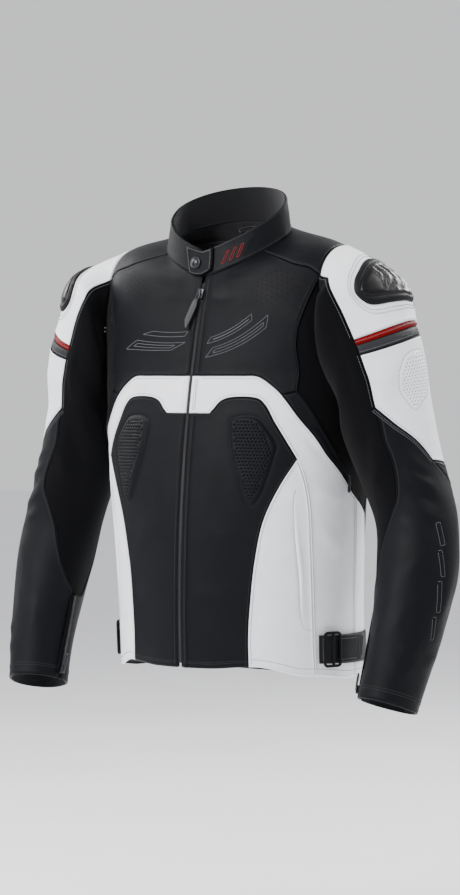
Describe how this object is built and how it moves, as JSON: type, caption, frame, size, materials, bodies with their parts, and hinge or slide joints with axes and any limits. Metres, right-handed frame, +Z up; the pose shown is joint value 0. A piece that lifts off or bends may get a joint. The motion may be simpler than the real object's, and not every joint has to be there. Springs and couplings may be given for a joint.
{
  "type": "leather riding jacket",
  "caption": "Motorcycle riding jacket of sewn leather and stretch panels with stand collar, front zip, shoulder armour, waist straps and zipped cuffs",
  "frame": {"origin": "middle of the hanging loop inside the back of the neck, where the jacket hangs", "axes": "+Z up, the front faces -Y, the wearer's left is +X"},
  "size_m": [0.7096, 0.2969, 0.7153],
  "materials": {
    "black_leather": "semi-matt grained leather",
    "white_leather": "semi-matt smooth leather",
    "red_leather": "semi-matt smooth leather",
    "grey_leather": "semi-matt smooth leather",
    "stretch_textile": "matt stretch textile",
    "lining": "fine mesh lining",
    "armour_plastic": "moulded semi-gloss",
    "foam": "matt foam",
    "black_metal": "black coated metal"
  },
  "bodies": {
    "root": {"chest_panel_left": "black_leather", "chest_panel_right": "black_leather", "lower_front_left": "black_leather", "lower_front_right": "black_leather", "side_strip_left": "black_leather", "side_strip_right": "black_leather", "waist_strap_left": "black_leather", "waist_strap_right": "black_leather", "elbow_leather_left": "black_leather", "elbow_leather_right": "black_leather", "elbow_accordion_left": "black_leather", "elbow_accordion_right": "black_leather", "chest_band_left": "white_leather", "chest_band_right": "white_leather", "pocket_panel_left": "white_leather", "pocket_panel_right": "white_leather", "back_side_left": "white_leather", "back_side_right": "white_leather", "shoulder_panel_left": "white_leather", "shoulder_panel_right": "white_leather", "upper_arm_left": "white_leather", "upper_arm_right": "white_leather", "red_stripe_left": "red_leather", "red_stripe_right": "red_leather", "grey_stripe_left": "grey_leather", "grey_stripe_right": "grey_leather", "side_stretch_left": "stretch_textile", "side_stretch_right": "stretch_textile", "sleeve_stretch_left": "stretch_textile", "sleeve_stretch_right": "stretch_textile", "elbow_stretch_left": "stretch_textile", "elbow_stretch_right": "stretch_textile", "shoulder_armour_base_left": "armour_plastic", "shoulder_armour_base_right": "armour_plastic", "shoulder_armour_cap_left": "armour_plastic", "shoulder_armour_cap_right": "armour_plastic", "back_panel": "black_leather", "yoke": "black_leather", "collar": "black_leather", "body_liner": "lining", "hanger_loop": "lining", "back_protector": "foam", "front_zip": "black_metal", "collar_snap_stud": "black_metal"},
    "forearm_left": {"forearm_stretch_left": "stretch_textile", "forearm_leather_left": "black_leather", "elbow_protector_left": "foam", "cuff_zip_left": "black_metal"},
    "cuff_slider_left": {"cuff_zip_slider_left": "black_metal"},
    "strap_end_left": {"strap_tab_left": "black_leather"},
    "forearm_right": {"forearm_stretch_right": "stretch_textile", "forearm_leather_right": "black_leather", "elbow_protector_right": "foam", "cuff_zip_right": "black_metal"},
    "cuff_slider_right": {"cuff_zip_slider_right": "black_metal"},
    "strap_end_right": {"strap_tab_right": "black_leather"},
    "zip_slider": {"front_zip_slider": "black_metal"},
    "zip_pull": {"front_zip_pull": "armour_plastic"},
    "collar_flap": {"collar_tab": "black_leather", "collar_snap_cap": "black_metal"}
  },
  "joints": [
    {"name": "elbow_bend_left", "type": "hinge", "parent": "root", "child": "forearm_left", "pos_m": [0.268, -0.05024, -0.33477], "axis": [-1, 0, 0], "range_deg": [0, 60], "deforming": ["elbow_stretch_left", "elbow_leather_left", "elbow_accordion_left"]},
    {"name": "cuff_zip_slide_left", "type": "slide", "parent": "forearm_left", "child": "cuff_slider_left", "axis": [0.0169, 0.3269, 0.9449], "range_m": [0, 0.098]},
    {"name": "strap_end_lift_left", "type": "hinge", "parent": "root", "child": "strap_end_left", "pos_m": [0.1755, -0.07502, -0.59662], "axis": [-0.0127, 0.0514, -0.9986], "range_deg": [0, 80]},
    {"name": "elbow_bend_right", "type": "hinge", "parent": "root", "child": "forearm_right", "pos_m": [-0.268, -0.05024, -0.33477], "axis": [-1, 0, 0], "range_deg": [0, 60], "deforming": ["elbow_stretch_right", "elbow_leather_right", "elbow_accordion_right"]},
    {"name": "cuff_zip_slide_right", "type": "slide", "parent": "forearm_right", "child": "cuff_slider_right", "axis": [-0.0169, 0.3269, 0.9449], "range_m": [0, 0.098]},
    {"name": "strap_end_lift_right", "type": "hinge", "parent": "root", "child": "strap_end_right", "pos_m": [-0.1755, -0.07502, -0.59662], "axis": [-0.0127, -0.0514, 0.9986], "range_deg": [0, 80]},
    {"name": "front_zip_travel", "type": "hinge", "parent": "root", "child": "zip_slider", "pos_m": [0, 1.40923, -0.51247], "axis": [1, 0, 0], "range_deg": [0, 17.4]},
    {"name": "zip_pull_swing", "type": "hinge", "parent": "zip_slider", "child": "zip_pull", "pos_m": [0, -0.14055, -0.092], "axis": [-0.9511, 0.0809, 0.2982], "range_deg": [0, 140]},
    {"name": "collar_tab_open", "type": "hinge", "parent": "root", "child": "collar_flap", "pos_m": [0.01488, -0.13222, -0.06387], "axis": [-0.022, 0.1356, 0.9905], "range_deg": [0, 110]}
  ]
}
